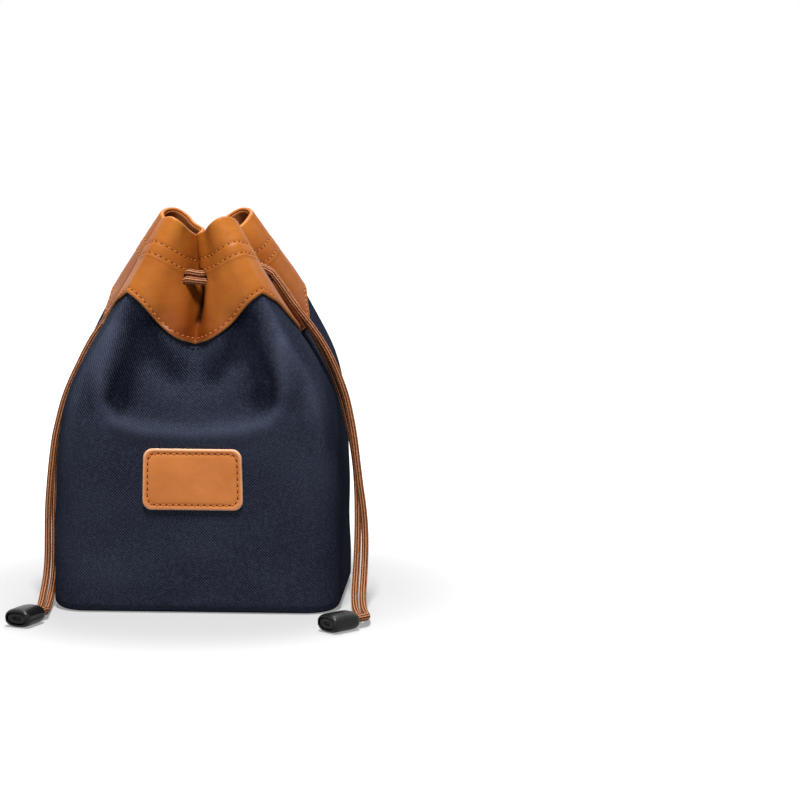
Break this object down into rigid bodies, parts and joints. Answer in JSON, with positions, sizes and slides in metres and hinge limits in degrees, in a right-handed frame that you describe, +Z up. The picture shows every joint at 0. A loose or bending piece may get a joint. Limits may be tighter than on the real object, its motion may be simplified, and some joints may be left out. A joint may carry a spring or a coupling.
{
  "type": "padded drawstring camera pouch",
  "caption": "Padded canvas drawstring pouch for a camera, with a gathered leather collar, braided drawcords and moulded cord ends.",
  "frame": {"origin": "middle of the pouch's underside, on the surface that it stands on", "axes": "+X to the pouch's right seen from the label side, +Y from the label side to the back, +Z up"},
  "size_m": [0.1851, 0.154, 0.204],
  "materials": {
    "canvas": "navy woven canvas, matt with a slight sheen",
    "label": "light tan leather with a pale cut edge",
    "leather": "smooth tan leather, satin",
    "facing": "dark tan leather facing, matt",
    "lining": "soft dark lining cloth",
    "foam": "closed-cell foam",
    "cord": "round braided brown cord",
    "moulded": "black moulded plastic, fine satin"
  },
  "bodies": {
    "bag": {"canvas_body": "canvas", "canvas_base": "canvas", "label_patch": "label", "leather_collar": "leather", "collar_facing": "facing", "lining": "lining", "foam_front": "foam", "foam_right": "foam", "foam_back": "foam", "foam_left": "foam", "foam_base": "foam", "eyelet_right_front": "moulded", "eyelet_right_rear": "moulded", "eyelet_left_rear": "moulded", "eyelet_left_front": "moulded", "drawcord_left": "cord", "drawcord_right": "cord"},
    "left_pull": {"left_tail_front": "cord", "left_tail_rear": "cord", "left_end_shell": "moulded", "left_end_knot": "cord"},
    "right_pull": {"right_tail_front": "cord", "right_tail_rear": "cord", "right_end_shell": "moulded", "right_end_knot": "cord"},
    "left_plug": {"left_end_plug": "moulded"},
    "right_plug": {"right_end_plug": "moulded"}
  },
  "joints": [
    {"name": "left_cord_pull", "type": "slide", "parent": "bag", "child": "left_pull", "axis": [-0.3746, -0.9272, 0], "range_m": [0, 0.03], "deforming": ["left_tail_front", "left_tail_rear"]},
    {"name": "right_cord_pull", "type": "slide", "parent": "bag", "child": "right_pull", "axis": [-0.682, -0.7314, 0], "range_m": [0, 0.03], "deforming": ["right_tail_front", "right_tail_rear"]},
    {"name": "left_plug_slide", "type": "slide", "parent": "left_pull", "child": "left_plug", "axis": [-0.3746, -0.9272, 0], "range_m": [0, 0.012]},
    {"name": "right_plug_slide", "type": "slide", "parent": "right_pull", "child": "right_plug", "axis": [-0.682, -0.7314, 0], "range_m": [0, 0.012]}
  ]
}
